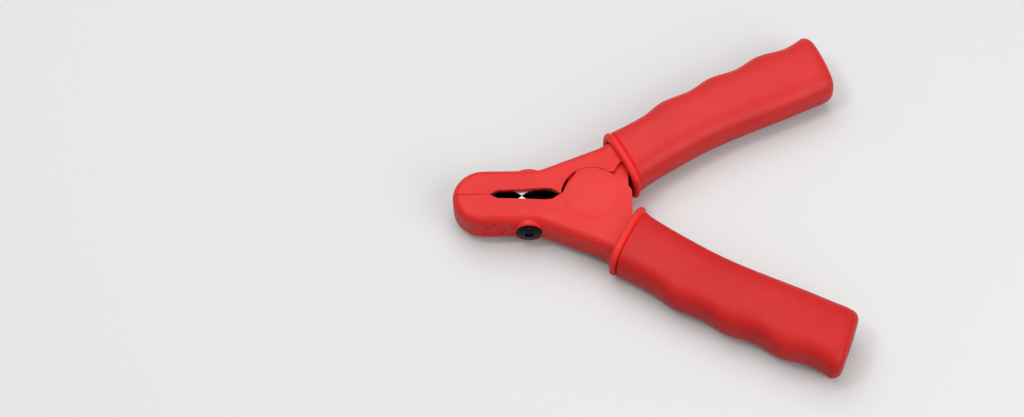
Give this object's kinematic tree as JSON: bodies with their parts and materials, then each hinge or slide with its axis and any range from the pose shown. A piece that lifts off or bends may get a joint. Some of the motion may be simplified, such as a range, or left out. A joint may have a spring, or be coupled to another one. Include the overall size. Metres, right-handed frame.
{
  "type": "battery charger clamp",
  "caption": "Sprung crocodile clamp for a battery charger lead, with two moulded jaws on a hinge pin, plated contacts and soft finger grips.",
  "frame": {"origin": "centre of the post seat, the larger round recess between the contacts, on the clamp's mid-plane", "axes": "+X from the nose towards the grips, +Y towards the upper jaw, +Z along the hinge pin, up when the clamp lies on its side"},
  "size_m": [0.1825, 0.1813, 0.0238],
  "materials": {
    "red_moulding": "satin moulded",
    "soft_grip": "soft satin vinyl",
    "plated_contact": "bright plated",
    "black_screw": "black oxide",
    "plated_steel": "zinc plated",
    "pale_plastic": "plain",
    "spring_steel": "drawn wire",
    "black_sleeve": "black sleeve over copper braid"
  },
  "bodies": {
    "lower_jaw": {"lower_lever": "red_moulding", "lower_grip": "soft_grip", "lower_contact": "plated_contact", "lower_terminal_screw": "black_screw", "lower_lock_washer": "black_screw", "lower_terminal_nut": "black_screw", "pivot_pin": "plated_steel", "pivot_bush": "pale_plastic", "torsion_spring": "spring_steel", "link_strap": "black_sleeve"},
    "upper_jaw": {"upper_lever": "red_moulding", "upper_grip": "soft_grip", "upper_contact": "plated_contact", "upper_terminal_screw": "black_screw", "upper_lock_washer": "black_screw", "upper_terminal_nut": "black_screw"}
  },
  "joints": [
    {"name": "jaw_hinge", "type": "hinge", "parent": "lower_jaw", "child": "upper_jaw", "pos_m": [0.0234, 0, 0], "axis": [0, 0, -1], "range_deg": [0, 14], "stiffness_Nm_per_rad": 2, "springref_deg": -45.84, "deforming": ["torsion_spring", "link_strap"]}
  ]
}
